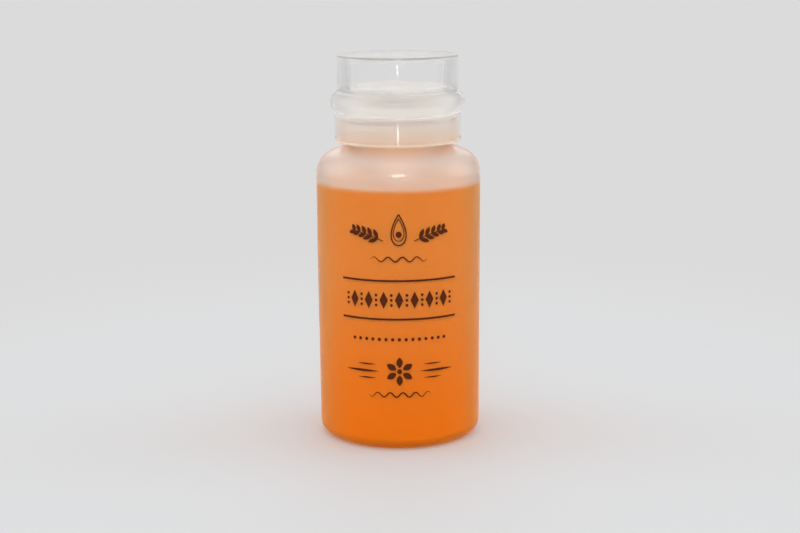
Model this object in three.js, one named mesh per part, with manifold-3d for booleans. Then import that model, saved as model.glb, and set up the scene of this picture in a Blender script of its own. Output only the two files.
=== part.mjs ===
// Nail polish remover bottle with a push-down dish pump, piece by piece.
// Millimetres, +Z up, origin at the centre of the foot ring that the bottle stands on.
// Nearly every piece is turned about Z, from a profile of (radius, height) points.
import * as THREE from 'three';
import { mergeVertices } from 'three/addons/utils/BufferGeometryUtils.js';
import Module from 'manifold-3d';

const wasm = await Module();
wasm.setup();

// Gaps between pieces
const seat = 0.15; // between two pieces that sit on one another
const slip = 0.3; // radial, between pieces that are pushed together or surround a fluid
const slide = 0.12; // radial, between pieces that slide in use

// Bottle
const bodyTopDiameter = 50; // at the foot of the shoulder
const bodyBaseDiameter = 49.4; // at the top of the base corner
const bottleWall = 1;
const baseCorner = 3.6; // radius of the corner round the base
const footWidth = 3.4; // flat ring that the bottle stands on
const pushUp = 1.8; // rise of the hollow under the base
const shoulderFoot = 80.9; // height where the shoulder starts to round in
const shoulderRadius = 7.4;
const shoulderSlope = 20; // degrees, of the cone between the rounding and the neck
const fillLevel = 78;

// Neck
const neckDiameter = 30; // at the root of the thread
const neckWall = 1.8;
const neckHeight = 8;
const threadDepth = 1.1;

// Screw collar, a double skirt under a deck
const threadClearance = 0.4;
const innerSkirtWall = 0.9;
const skirtSpacing = 0.7; // slot between the two skirts
const outerSkirtWall = 1.1;
const collarStandOff = 0.95; // from the foot of the neck to the lower edge of the collar
const deckThickness = 1.1;
const deckOverlap = 2; // of the deck over the flange of the pump
const spigotWall = 1.1;
const spigotRise = 0.65; // of the spigot above the deck
const edgeRound = 0.4;

// Clear overcap
const capHeight = 17.6;
const capWall = 1.2;
const capTop = 1.3;
const capCorner = 0.7;
const beadHeight = 6.6; // grip bead round the open end
const beadProud = 2.15;

// Gasket and pump housing
const gasketThickness = 1;
const flangeThickness = 1;
const flangeOverhang = 0.55; // of gasket and flange past the neck
const cupDepth = 5.2; // of the cup that sinks the pump into the neck
const cupWall = 1.1;
const cupFloor = 1.2;
const ventDiameter = 1.6; // lets air into the bottle
const chamberDiameter = 10;
const chamberWall = 1.2;
const chamberTaper = 0.5; // rise of the outside per width, where it narrows to the tube socket

// Piston, stem and their guide
const stroke = 3.5;
const hubStop = 0.4; // left between the dish's hub and the guide when the dish is pressed right down
const dishStop = 1.45; // left then between the dish and the edge of the deck
const stemDiameter = 4.8;
const stemBore = 1.8;
const stemNeck = 3.6; // waist that the piston is clipped on
const stemFootDiameter = 5.8;
const stemFoot = 0.8;
const pistonLength = 3.8;
const pistonLip = 0.9; // height of each sealing lip
const pistonTaper = 0.45; // height of the slope on each side of a lip
const pistonWaist = 0.6; // depth of the waist between the lips
const guideFlange = 1;
const guideFlangeDiameter = 13.6;
const guideDepth = 3.2;

// Spring
const springLength = 9.2;
const springWire = 0.6;
const springTurns = 6;
const springEndGap = 0.46; // between the wire and itself in the two end turns
const springSteps = 10; // in each turn
const springSides = 5;

// Ball valves
const inletBall = 3.2;
const inletPocket = 5.2;
const inletThroat = 2.2;
const inletSeatHeight = 1.1; // of the cone that the ball sits in
const inletLift = 1.2;
const cageThickness = 0.9;
const cageSlots = 3;
const cageSlotSpan = 80; // degrees
const cageSlotWidth = 1.1;
const cageBridge = 1.3; // radius of the solid middle that stops the ball
const outletBall = 2.5;
const outletPocket = 3.5;
const outletSeatHeight = 0.7;
const outletPocketDepth = 1.6;
const outletLift = 0.9;

// Dip tube
const tubeDiameter = 4;
const tubeWall = 0.7;
const tubeSocketLength = 5.7;
const tubeSocketWall = 1.25;
const tubeStop = 0.7; // shoulder in the socket that the tube is pushed against
const tubeEndGap = 2; // from the lower tip of the tube to the base
const tubeCut = 40; // degrees, of the slanting lower end
const tubeCutBlock = 16; // size of the block that makes that cut

// Dish and its insert
const dishClearance = 1; // radial, to the inside of the spigot
const bowlDepth = 4.4;
const dishFloor = 1.1;
const dishLip = 1;
const dishRim = 1.3; // height of the band round the edge
const hubWall = 1.35;
const insertDiameter = 6.8;
const insertThickness = 0.9;
const insertSunk = 0.45;
const insertShank = 0.5;
const insertBore = 0.9;

// Smoothness: segments in a full turn, and steps along a curve of a profile
const bodySegments = 48;
const pumpSegments = 36;
const tubeSegments = 24;
const ballSegments = 14;
const ballRings = 9;
const cageSegments = 8;
const domeSteps = 3;
const baseSteps = 4;
const shoulderSteps = 6;
const innerShoulderSteps = 4;
const beadSteps = 8;
const bowlSteps = 5;
const capCornerSteps = 3;
const smallCornerSteps = 2;
const mergeDistance = 1e-4;

// Colours and finishes
const naturalBottle = { color: 0xe6c4ac, roughness: 0.35, metalness: 0 };
const orangeFluid = { color: 0xe47a1e, roughness: 0.05, metalness: 0 };
const naturalCollar = { color: 0xdcccc0, roughness: 0.4, metalness: 0 };
const clearCap = { color: 0xd8d6d6, roughness: 0.06, metalness: 0 };
const naturalMoulding = { color: 0xe2ddd6, roughness: 0.45, metalness: 0 };
const softSeal = { color: 0xebe9e4, roughness: 0.6, metalness: 0 };
const sprungSteel = { color: 0xb8bac0, roughness: 0.28, metalness: 1 };

// Radii, worked out from the neck outwards
const neckRadius = neckDiameter / 2;
const neckBore = neckRadius - neckWall;
const threadRadius = neckRadius + threadDepth;
const collarBore = threadRadius + threadClearance;
const innerSkirt = collarBore + innerSkirtWall;
const outerSkirtInside = innerSkirt + skirtSpacing;
const collarRadius = outerSkirtInside + outerSkirtWall;
const flangeRadius = neckRadius + flangeOverhang;
const flangeRecess = flangeRadius + seat;
const deckHole = flangeRecess - deckOverlap;
const spigotRadius = flangeRecess + spigotWall;
const capInside = spigotRadius + slip;
const capRadius = capInside + capWall;
const cupRadius = neckBore - slip;
const cupInside = cupRadius - cupWall;
const chamberInside = chamberDiameter / 2;
const chamberRadius = chamberInside + chamberWall;
const stemRadius = stemDiameter / 2;
const pistonRadius = chamberInside - slide;
const springRadius = chamberInside - slip - springWire;
const tubeRadius = tubeDiameter / 2;
const socketInside = tubeRadius + seat;
const socketRadius = socketInside + tubeSocketWall;
const dishRadius = flangeRecess - dishClearance;
const bowlRadius = dishRadius - dishLip;
const hubBore = stemRadius + seat;

// Heights, worked out from the shoulder upwards
const bodyTopRadius = bodyTopDiameter / 2;
const bodyBaseRadius = bodyBaseDiameter / 2;
const slopeRise = Math.tan(THREE.MathUtils.degToRad(shoulderSlope));
const shoulderEndAngle = 90 - shoulderSlope;
const shoulderEnd = shoulderAt(shoulderEndAngle, shoulderRadius);
const neckFoot = shoulderEnd.y + (shoulderEnd.x - neckRadius) * slopeRise;
const neckTop = neckFoot + neckHeight;
const gasketFoot = neckTop + seat;
const flangeFoot = gasketFoot + gasketThickness + seat;
const flangeTop = flangeFoot + flangeThickness;
const deckFoot = flangeTop + seat;
const deckTop = deckFoot + deckThickness;
const collarFoot = neckFoot + collarStandOff;
const collarLedge = flangeFoot;
const capFoot = collarLedge + seat;
const capRoof = capFoot + capHeight;

// Heights inside the pump, worked out from the cup downwards
const cupFloorTop = flangeFoot - cupDepth;
const guideFoot = cupFloorTop - guideDepth;
const guideTop = cupFloorTop + seat + guideFlange;
const pistonTop = guideFoot - seat;
const pistonFoot = pistonTop - pistonLength;
const springTop = pistonFoot - seat;
const springFoot = springTop - springLength;
const cageTop = springFoot - seat;
const cageFoot = cageTop - cageThickness;
const chamberShelf = cageFoot - seat;
const inletBallTop = cageFoot - seat - inletLift;
const inletCone = seatOf(inletBall, inletPocket, inletThroat, inletSeatHeight);
const inletBallHeight = inletBallTop - inletBall / 2;
const inletSeatTop = inletBallHeight - seat - inletCone;
const socketTop = inletSeatTop - inletSeatHeight - tubeStop;
const socketFoot = socketTop - tubeSocketLength;

// Heights of the dish, which is set so that it clears the deck when pressed
const bowlCurve = (bowlRadius ** 2 + bowlDepth ** 2) / (2 * bowlDepth);
const bowlFoot = deckTop + stroke + dishStop + dishFloor - bowlSag(deckHole);
const dishTop = bowlFoot + bowlDepth;
const hubFoot = guideTop + stroke + hubStop;
const insertSeat = bowlFoot - insertSunk + seat;
const insertFoot = insertSeat - insertShank;
const outletBallHeight = insertFoot - seat - outletLift - outletBall / 2;
const outletCone = seatOf(outletBall, outletPocket, stemBore, outletSeatHeight);
const outletSeatTop = outletBallHeight - seat - outletCone;
const stemTop = outletSeatTop + outletPocketDepth;
const stemFootTop = pistonFoot - seat;
const hubBoreTop = stemTop + seat;

const model = new THREE.Group();

function at(radius, height) {
  return new THREE.Vector2(radius, height);
}

function arc(centre, radius, fromDegrees, toDegrees, steps) {
  const points = [];
  for (let i = 0; i <= steps; i += 1) {
    const angle = THREE.MathUtils.degToRad(fromDegrees + ((toDegrees - fromDegrees) * i) / steps);
    points.push(at(centre.x + radius * Math.cos(angle), centre.y + radius * Math.sin(angle)));
  }
  return points;
}

// A solid of revolution from a profile that starts and ends on the axis.
function turned(profile, segments) {
  return new THREE.LatheGeometry(profile, segments).rotateX(Math.PI / 2);
}

// A ring of revolution from a profile that is closed on itself.
function turnedRing(profile, segments) {
  return turned([...profile, profile[0].clone()], segments);
}

function solidOf(geometry) {
  const bare = geometry.clone();
  bare.deleteAttribute('normal');
  bare.deleteAttribute('uv');
  const merged = mergeVertices(bare, mergeDistance);
  const corners = merged.index.array;
  const triangles = [];
  for (let i = 0; i < corners.length; i += 3) {
    const triangle = [corners[i], corners[i + 1], corners[i + 2]];
    if (new Set(triangle).size === 3) {
      triangles.push(...triangle);
    }
  }
  const mesh = new wasm.Mesh({
    numProp: 3,
    vertProperties: merged.attributes.position.array,
    triVerts: new Uint32Array(triangles),
  });
  return new wasm.Manifold(mesh);
}

function cut(geometry, tool) {
  const mesh = solidOf(geometry).subtract(solidOf(tool)).getMesh();
  const result = new THREE.BufferGeometry();
  result.setAttribute('position', new THREE.BufferAttribute(mesh.vertProperties, 3));
  result.setIndex(new THREE.BufferAttribute(mesh.triVerts, 1));
  result.computeVertexNormals();
  return result;
}

function place(name, geometry, finish, height = 0) {
  const mesh = new THREE.Mesh(geometry, new THREE.MeshStandardMaterial(finish));
  mesh.name = name;
  mesh.position.z = height;
  model.add(mesh);
}

// Point on the shoulder's rounding, or on a line parallel to it inside the wall.
function shoulderAt(degrees, radius) {
  const angle = THREE.MathUtils.degToRad(degrees);
  const centre = at(bodyTopRadius - shoulderRadius, shoulderFoot);
  return at(centre.x + radius * Math.cos(angle), centre.y + radius * Math.sin(angle));
}

// Height of a ball's centre above the top of the cone that it sits in.
function seatOf(ball, pocket, throat, coneHeight) {
  const halfAngle = Math.atan2((pocket - throat) / 2, coneHeight);
  return ball / 2 / Math.sin(halfAngle) - pocket / 2 / Math.tan(halfAngle);
}

// Rise of the bowl above its middle, at a radius.
function bowlSag(radius) {
  return bowlCurve - Math.sqrt(bowlCurve ** 2 - radius ** 2);
}

// The base and side of the bottle from the axis to the foot of the shoulder, moved in by an inset.
function bodyOutline(inset) {
  const cornerCentre = at(bodyBaseRadius - baseCorner, baseCorner);
  const footInside = cornerCentre.x - footWidth;
  const points = [];
  for (let i = 0; i < domeSteps; i += 1) {
    const share = i / domeSteps;
    points.push(at(footInside * share, inset + pushUp * (1 - share ** 2)));
  }
  points.push(at(footInside, inset));
  points.push(...arc(cornerCentre, baseCorner - inset, -90, 0, baseSteps));
  return points;
}

// The inside of the bottle from the axis at the base to the top of the neck, moved in by an inset.
function insideOutline(inset) {
  const rounding = shoulderRadius - inset;
  const roundingTop = shoulderAt(shoulderEndAngle, rounding);
  const bore = neckBore + bottleWall - inset;
  return [
    ...bodyOutline(inset),
    ...arc(shoulderAt(0, 0), rounding, 0, shoulderEndAngle, innerShoulderSteps),
    at(bore, roundingTop.y + (roundingTop.x - bore) * slopeRise),
    at(bore, neckTop),
  ];
}

function makeBottle() {
  const outside = [
    ...bodyOutline(0),
    ...arc(shoulderAt(0, 0), shoulderRadius, 0, shoulderEndAngle, shoulderSteps),
    at(neckRadius, neckFoot),
    at(neckRadius, neckTop - edgeRound),
    at(neckRadius - edgeRound, neckTop),
  ];
  const inside = insideOutline(bottleWall).reverse();
  place('bottle', turned([...outside, ...inside], bodySegments), naturalBottle);
}

function makeLiquid() {
  const bottleRoom = turned([...insideOutline(bottleWall + slip), at(0, neckTop)], bodySegments);
  const tubeHole = tubeRadius + slip;
  const socketHole = socketRadius + slip;
  const chamberHole = chamberRadius + slip;
  const clearTop = neckTop + slip;
  const air = turned(
    [at(0, fillLevel), at(bodyTopRadius, fillLevel), at(bodyTopRadius, clearTop), at(0, clearTop)],
    pumpSegments,
  );
  const pumpRoom = turned(
    [
      at(0, tubeTip() - slip),
      at(tubeHole, tubeTip() - slip),
      at(tubeHole, socketFoot - slip),
      at(socketHole, socketFoot - slip),
      at(socketHole, inletSeatTop - slip),
      at(chamberHole, chamberTaperTop() - slip),
      at(chamberHole, clearTop),
      at(0, clearTop),
    ],
    pumpSegments,
  );
  place('remover_liquid', cut(cut(bottleRoom, air), pumpRoom), orangeFluid);
}

function makeGasket() {
  const profile = [
    at(neckBore, gasketFoot),
    at(flangeRadius, gasketFoot),
    at(flangeRadius, gasketFoot + gasketThickness),
    at(neckBore, gasketFoot + gasketThickness),
  ];
  place('neck_gasket', turnedRing(profile, bodySegments), softSeal);
}

function makeCollar() {
  const slotTop = neckTop - skirtSpacing;
  const profile = [
    at(collarBore, collarFoot),
    at(innerSkirt, collarFoot),
    at(innerSkirt, slotTop),
    at(outerSkirtInside, slotTop),
    at(outerSkirtInside, collarFoot),
    at(collarRadius - edgeRound, collarFoot),
    at(collarRadius, collarFoot + edgeRound),
    ...arc(at(collarRadius - edgeRound, collarLedge - edgeRound), edgeRound, 0, 90, smallCornerSteps),
    at(spigotRadius, collarLedge),
    at(spigotRadius, deckTop + spigotRise - edgeRound),
    at(spigotRadius - edgeRound, deckTop + spigotRise),
    at(flangeRecess, deckTop + spigotRise),
    at(flangeRecess, deckTop),
    at(deckHole, deckTop),
    at(deckHole, deckFoot),
    at(flangeRecess, deckFoot),
    at(flangeRecess, neckTop),
    at(collarBore, neckTop),
  ];
  place('collar', turnedRing(profile, bodySegments), naturalCollar);
}

function makeOvercap() {
  const beadRadius = (beadHeight ** 2 / 4 + beadProud ** 2) / (2 * beadProud);
  const beadCentre = at(capRadius + beadProud - beadRadius, capFoot + beadHeight / 2);
  const beadAngle = THREE.MathUtils.radToDeg(Math.asin(beadHeight / 2 / beadRadius));
  const ceiling = capRoof - capTop;
  const profile = [
    at(0, ceiling),
    ...arc(at(capInside - capCorner, ceiling - capCorner), capCorner, 90, 0, smallCornerSteps),
    at(capInside, capFoot),
    ...arc(beadCentre, beadRadius, -beadAngle, beadAngle, beadSteps),
    ...arc(at(capRadius - capCorner, capRoof - capCorner), capCorner, 0, 90, capCornerSteps),
    at(0, capRoof),
  ];
  place('overcap', turned(profile, bodySegments), clearCap);
}

// Height where the chamber's outside starts to narrow to the tube socket.
function chamberTaperTop() {
  return inletSeatTop + (chamberRadius - socketRadius) * chamberTaper;
}

function makeHousing() {
  const cupFloorFoot = cupFloorTop - cupFloor;
  const profile = [
    at(flangeRadius, flangeFoot),
    at(flangeRadius, flangeTop),
    at(cupInside, flangeTop),
    at(cupInside, cupFloorTop),
    at(chamberInside, cupFloorTop),
    at(chamberInside, chamberShelf),
    at(inletPocket / 2, chamberShelf),
    at(inletPocket / 2, inletSeatTop),
    at(inletThroat / 2, inletSeatTop - inletSeatHeight),
    at(inletThroat / 2, socketTop),
    at(socketInside, socketTop),
    at(socketInside, socketFoot),
    at(socketRadius, socketFoot),
    at(socketRadius, inletSeatTop),
    at(chamberRadius, chamberTaperTop()),
    at(chamberRadius, cupFloorFoot),
    at(cupRadius, cupFloorFoot),
    at(cupRadius, flangeFoot),
  ];
  const ventLength = cupFloor + 2 * slip;
  const vent = new THREE.CylinderGeometry(ventDiameter / 2, ventDiameter / 2, ventLength, tubeSegments);
  vent.rotateX(Math.PI / 2);
  vent.translate((chamberRadius + cupInside) / 2, 0, cupFloorTop - cupFloor / 2);
  place('pump_housing', cut(turnedRing(profile, pumpSegments), vent), naturalMoulding);
}

function makeGuide() {
  const bore = stemRadius + slide;
  const body = chamberInside - seat;
  const profile = [
    at(bore, guideFoot),
    at(body, guideFoot),
    at(body, cupFloorTop + seat),
    at(guideFlangeDiameter / 2, cupFloorTop + seat),
    at(guideFlangeDiameter / 2, guideTop - edgeRound),
    at(guideFlangeDiameter / 2 - edgeRound, guideTop),
    at(bore, guideTop),
  ];
  place('guide_bush', turnedRing(profile, pumpSegments), naturalMoulding);
}

function makePiston() {
  const waist = pistonRadius - pistonWaist;
  const bore = stemNeck / 2 + seat;
  const profile = [
    at(bore, pistonFoot),
    at(pistonRadius - pistonWaist / 2, pistonFoot),
    at(pistonRadius, pistonFoot + pistonTaper),
    at(pistonRadius, pistonFoot + pistonLip),
    at(waist, pistonFoot + pistonLip + pistonTaper),
    at(waist, pistonTop - pistonLip - pistonTaper),
    at(pistonRadius, pistonTop - pistonLip),
    at(pistonRadius, pistonTop - pistonTaper),
    at(pistonRadius - pistonWaist / 2, pistonTop),
    at(bore, pistonTop),
  ];
  place('piston_seal', turnedRing(profile, tubeSegments), softSeal);
}

function makeStem() {
  const bore = stemBore / 2;
  const profile = [
    at(bore, stemFootTop - stemFoot),
    at(stemFootDiameter / 2, stemFootTop - stemFoot),
    at(stemFootDiameter / 2, stemFootTop),
    at(stemNeck / 2, stemFootTop),
    at(stemNeck / 2, pistonTop + seat),
    at(stemRadius, pistonTop + seat),
    at(stemRadius, stemTop),
    at(outletPocket / 2, stemTop),
    at(outletPocket / 2, outletSeatTop),
    at(bore, outletSeatTop - outletSeatHeight),
  ];
  place('pump_stem', turnedRing(profile, tubeSegments), naturalMoulding);
}

// Centre line of the spring's wire. Its two end turns lie closer than the turns between them.
class SpringPath extends THREE.Curve {
  getPoint(share, target = new THREE.Vector3()) {
    const turn = share * springTurns;
    const angle = turn * 2 * Math.PI;
    return target.set(springRadius * Math.cos(angle), springRadius * Math.sin(angle), this.heightAt(turn));
  }

  heightAt(turn) {
    const endPitch = springWire + springEndGap;
    const rise = springLength - springWire;
    const pitch = (rise - 2 * endPitch) / (springTurns - 2);
    if (turn < 1) {
      return endPitch * turn;
    }
    if (turn > springTurns - 1) {
      return rise - endPitch * (springTurns - turn);
    }
    return endPitch + pitch * (turn - 1);
  }
}

// Least gap between the spring's wire and its neighbouring turns, measured on points of its centre line.
function springGap(path) {
  const count = springTurns * springSteps;
  const halfTurn = springSteps / 2;
  const points = path.getPoints(count);
  let least = Infinity;
  for (let i = 0; i + halfTurn <= count; i += 1) {
    for (let j = i + halfTurn; j <= count; j += 1) {
      least = Math.min(least, points[i].distanceTo(points[j]) - springWire);
    }
  }
  return least;
}

function makeSpring() {
  const path = new SpringPath();
  const section = new THREE.Shape();
  for (let i = 0; i < springSides; i += 1) {
    const angle = (i / springSides) * 2 * Math.PI;
    const method = i === 0 ? 'moveTo' : 'lineTo';
    section[method]((springWire / 2) * Math.cos(angle), (springWire / 2) * Math.sin(angle));
  }
  const wire = new THREE.ExtrudeGeometry(section, { steps: springTurns * springSteps, extrudePath: path });
  console.log(`return_spring least gap to itself: ${springGap(path).toFixed(2)} mm`);
  place('return_spring', wire, sprungSteel, springFoot + springWire / 2);
}

function makeBall(name, diameter, height) {
  const sphere = new THREE.SphereGeometry(diameter / 2, ballSegments, ballRings).rotateX(Math.PI / 2);
  place(name, sphere, sprungSteel, height);
}

function makeCage() {
  const disc = new THREE.Shape();
  disc.absarc(0, 0, chamberInside - slip, 0, 2 * Math.PI, false);
  const span = THREE.MathUtils.degToRad(cageSlotSpan);
  for (let i = 0; i < cageSlots; i += 1) {
    const start = (i / cageSlots) * 2 * Math.PI;
    const slot = new THREE.Path();
    slot.absarc(0, 0, cageBridge, start, start + span, false);
    slot.absarc(0, 0, cageBridge + cageSlotWidth, start + span, start, true);
    disc.holes.push(slot);
  }
  const plate = new THREE.ExtrudeGeometry(disc, {
    depth: cageThickness,
    bevelEnabled: false,
    curveSegments: cageSegments,
  });
  place('ball_cage', plate, naturalMoulding, cageFoot);
}

// Height of the lowest point of the dip tube.
function tubeTip() {
  return pushUp + bottleWall + tubeEndGap;
}

function makeDipTube() {
  const top = socketTop - seat;
  const bore = tubeRadius - tubeWall;
  const tip = tubeTip();
  const profile = [at(bore, tip), at(tubeRadius, tip), at(tubeRadius, top), at(bore, top)];
  const wedge = new THREE.BoxGeometry(tubeCutBlock, tubeCutBlock, tubeCutBlock);
  wedge.translate(tubeCutBlock / 2, 0, -tubeCutBlock / 2);
  wedge.rotateY(-THREE.MathUtils.degToRad(tubeCut));
  wedge.translate(-tubeRadius / 2, 0, tip);
  place('dip_tube', cut(turnedRing(profile, tubeSegments), wedge), naturalMoulding);
}

// Points along the bowl's curve, moved down by a drop.
function bowlLine(fromRadius, toRadius, drop) {
  const points = [];
  for (let i = 0; i <= bowlSteps; i += 1) {
    const radius = fromRadius + ((toRadius - fromRadius) * i) / bowlSteps;
    points.push(at(radius, bowlFoot - drop + bowlSag(radius)));
  }
  return points;
}

function makeDish() {
  const recess = insertDiameter / 2 + seat;
  const hubRadius = hubBore + hubWall;
  const rimFoot = dishTop - dishRim;
  const rimSag = rimFoot - bowlFoot + dishFloor;
  const rimInside = Math.sqrt(2 * bowlCurve * rimSag - rimSag ** 2);
  const profile = [
    at(outletPocket / 2, hubBoreTop),
    at(hubBore, hubBoreTop),
    at(hubBore, hubFoot),
    at(hubRadius, hubFoot),
    ...bowlLine(hubRadius, rimInside, dishFloor),
    at(dishRadius, rimFoot),
    at(dishRadius, dishTop - edgeRound),
    at(dishRadius - edgeRound, dishTop),
    ...bowlLine(bowlRadius, recess, 0),
    at(recess, bowlFoot - insertSunk),
    at(outletPocket / 2, bowlFoot - insertSunk),
  ];
  place('dish', turnedRing(profile, pumpSegments), naturalMoulding);
}

function makeInsert() {
  const top = insertSeat + insertThickness;
  const shank = outletPocket / 2 - seat;
  const head = insertDiameter / 2;
  const profile = [
    at(insertBore / 2, insertFoot),
    at(shank, insertFoot),
    at(shank, insertSeat),
    at(head, insertSeat),
    at(head, top - edgeRound),
    at(head - edgeRound, top),
    at(insertBore / 2, top),
  ];
  place('dish_insert', turnedRing(profile, tubeSegments), softSeal);
}

makeBottle();
makeLiquid();
makeGasket();
makeCollar();
makeOvercap();
makeHousing();
makeGuide();
makePiston();
makeStem();
makeSpring();
makeCage();
makeBall('inlet_ball', inletBall, inletBallHeight);
makeBall('outlet_ball', outletBall, outletBallHeight);
makeDipTube();
makeDish();
makeInsert();

export default model;
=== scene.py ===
# %% [markdown]
# # A nail polish remover bottle with a push-down dish pump
#
# The real bottle is blown from natural polyethylene, holds an orange remover and is closed by a screw-on
# pump. A cotton pad is pressed on the pump's dish, and the pump wets it. A clear cap covers the dish on the
# shelf. The CAD model already has every piece in its place, so it is loaded first and stays fixed. Most
# pieces here are smoother versions of its nodes, made in the same place and riding on the same moving body.
# The print and a few fine marks are added to them.

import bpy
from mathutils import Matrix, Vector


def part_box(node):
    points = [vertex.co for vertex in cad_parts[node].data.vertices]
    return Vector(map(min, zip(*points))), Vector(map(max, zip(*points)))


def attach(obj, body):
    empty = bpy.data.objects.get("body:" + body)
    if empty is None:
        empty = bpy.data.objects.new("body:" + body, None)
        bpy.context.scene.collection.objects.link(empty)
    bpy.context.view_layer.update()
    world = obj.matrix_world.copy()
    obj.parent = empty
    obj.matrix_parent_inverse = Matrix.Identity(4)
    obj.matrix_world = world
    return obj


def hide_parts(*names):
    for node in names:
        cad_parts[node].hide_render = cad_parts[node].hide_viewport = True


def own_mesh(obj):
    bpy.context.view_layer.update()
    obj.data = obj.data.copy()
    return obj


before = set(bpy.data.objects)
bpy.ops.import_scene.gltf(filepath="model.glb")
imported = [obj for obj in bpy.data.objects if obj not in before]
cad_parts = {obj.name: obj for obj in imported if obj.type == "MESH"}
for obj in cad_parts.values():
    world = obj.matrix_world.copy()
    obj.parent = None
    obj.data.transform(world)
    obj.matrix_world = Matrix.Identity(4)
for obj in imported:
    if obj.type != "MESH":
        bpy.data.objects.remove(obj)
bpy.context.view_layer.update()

import math

import bmesh
import bpy
from mathutils import Euler, Quaternion, Vector

# %% [markdown]
# ## Millimetres and turned shapes
#
# Blender works in metres here, but a bottle is easier to think of in millimetres, so profiles are written in
# millimetres and scaled at the end. Outer sizes are read from the CAD model. Inner ones are written down
# here.

# %% Read a piece's size from the frame
MM = 0.001


def span(node):
    """Outer radius, foot and top of a turned CAD node, in millimetres."""
    low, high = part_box(node)
    return high.x / MM, low.z / MM, high.z / MM


bottle_radius, _, neck_top = span("bottle")
print(f"bottle: {bottle_radius:.2f} mm in radius, neck ends {neck_top:.2f} mm up")

# %% [markdown]
# Moulded pieces have no knife edges: each corner has a small radius where the mould was cut. A profile is
# therefore a list of corners, each with its own rounding in millimetres, and the arcs are worked out here. A
# Bevel modifier could round the edges too, but not each by its own amount.

# %% Round the corners of a profile
ROUND_STEPS = 5


def arc(centre, radius, start, stop, steps):
    """Points on an arc about a centre, between two angles in degrees."""
    points = []
    for i in range(steps + 1):
        angle = math.radians(start + (stop - start) * i / steps)
        points.append((centre[0] + radius * math.cos(angle), centre[1] + radius * math.sin(angle)))
    return points


def rounded(corners, closed=True):
    """Profile points from corners given as (radius, height) or (radius, height, rounding)."""
    points = []
    for i, corner in enumerate(corners):
        here = Vector(corner[:2])
        at_end = not closed and i in (0, len(corners) - 1)
        if len(corner) == 2 or at_end:
            points.append(tuple(here))
            continue
        back = (Vector(corners[i - 1][:2]) - here).normalized()
        on = (Vector(corners[(i + 1) % len(corners)][:2]) - here).normalized()
        half = back.angle(on) / 2
        centre = here + (back + on).normalized() * corner[2] / math.sin(half)
        start = here + back * corner[2] / math.tan(half) - centre
        stop = here + on * corner[2] / math.tan(half) - centre
        for step in range(ROUND_STEPS + 1):
            way = start.slerp(stop, step / ROUND_STEPS)  # of unit length
            points.append(tuple(centre + way * corner[2]))
    return points


square = [(1, 0, 0.2), (2, 0, 0.2), (2, 1, 0.2), (1, 1, 0.2)]
print("a square with rounded corners has", len(rounded(square)), "points")

# %% [markdown]
# Nearly every piece is round. A Screw or Spin modifier could turn a profile, but a short function of our own
# lets a thread rise out of the turned surface later.

# %% Turn a profile about the bottle's axis
TURN_STEPS = 144
ON_AXIS = 1e-6


def turned(profile, closed=True, steps=TURN_STEPS, relief=None):
    """Vertices and faces of a profile turned about Z.

    Relief gives what is added to the radius, from radius, height and angle."""
    vertices, faces, rings = [], [], []
    for radius, height in profile:
        if radius < ON_AXIS:
            rings.append([len(vertices)] * steps)
            vertices.append((0.0, 0.0, height))
            continue
        ring = []
        for step in range(steps):
            angle = 2 * math.pi * step / steps
            reach = radius + (relief(radius, height, angle) if relief else 0.0)
            ring.append(len(vertices))
            vertices.append((reach * math.cos(angle), reach * math.sin(angle), height))
        rings.append(ring)
    pairs = list(zip(rings, rings[1:])) + ([(rings[-1], rings[0])] if closed else [])
    for lower, upper in pairs:
        for step in range(steps):
            beside = (step + 1) % steps
            corners = [lower[step], lower[beside], upper[beside], upper[step]]
            face = list(dict.fromkeys(corners))
            if len(face) > 2:
                faces.append(face)
    return vertices, faces


print("turned, the square has", len(turned(rounded(square))[1]), "faces")

# %% [markdown]
# A piece becomes an object in four steps: a mesh, smooth shading with sharp edges where the surface really
# turns a corner, a Weighted Normal modifier so that the large faces stay flat in the highlights, and three
# last calls that add its finish, hide the CAD node it stands for and attach it to the body it moves with.

# %% Make a piece
SHARP_ANGLE = math.radians(38)


def make_mesh(name, shape):
    """A smooth-shaded mesh from vertices in millimetres and faces."""
    vertices, faces = shape
    mesh = bpy.data.meshes.new(name)
    mesh.from_pydata([Vector(vertex) * MM for vertex in vertices], [], faces)
    work = bmesh.new()
    work.from_mesh(mesh)
    bmesh.ops.recalc_face_normals(work, faces=work.faces)
    for face in work.faces:
        face.smooth = True
    for edge in work.edges:
        edge.smooth = edge.calc_face_angle(0.0) < SHARP_ANGLE
    work.to_mesh(mesh)
    work.free()
    return mesh


def add(name, data):
    """A new object in the scene."""
    made = bpy.data.objects.new(name, data)
    bpy.context.scene.collection.objects.link(made)
    return made


def make_piece(name, shape, finish, body, node=None):
    """An object with a finish that rides on a body and may stand for a CAD node."""
    made = add(name, make_mesh(name, shape))
    made.data.materials.append(finish)
    made.modifiers.new("flat_faces", "WEIGHTED_NORMAL").keep_sharp = True
    if node:
        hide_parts(node)
    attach(made, body)
    print(f"{name}: {len(made.data.polygons)} faces, rides on {body}")
    return made


def mould(name, corners, finish, body, node):
    """A piece turned from the rounded corners of its profile."""
    return make_piece(name, turned(rounded(corners)), finish, body, node)


print(f"edges of more than {math.degrees(SHARP_ANGLE):.0f} degrees stay sharp")

# %% [markdown]
# ## Shader maths as Python
#
# A material is a graph of nodes. Placing each Math node by hand hides the formula, so a socket is wrapped in
# a small class: adding or multiplying two wires adds the Math node. Every other node comes from one method,
# which takes the node's type, its settings and then the values or links of its sockets.

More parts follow.
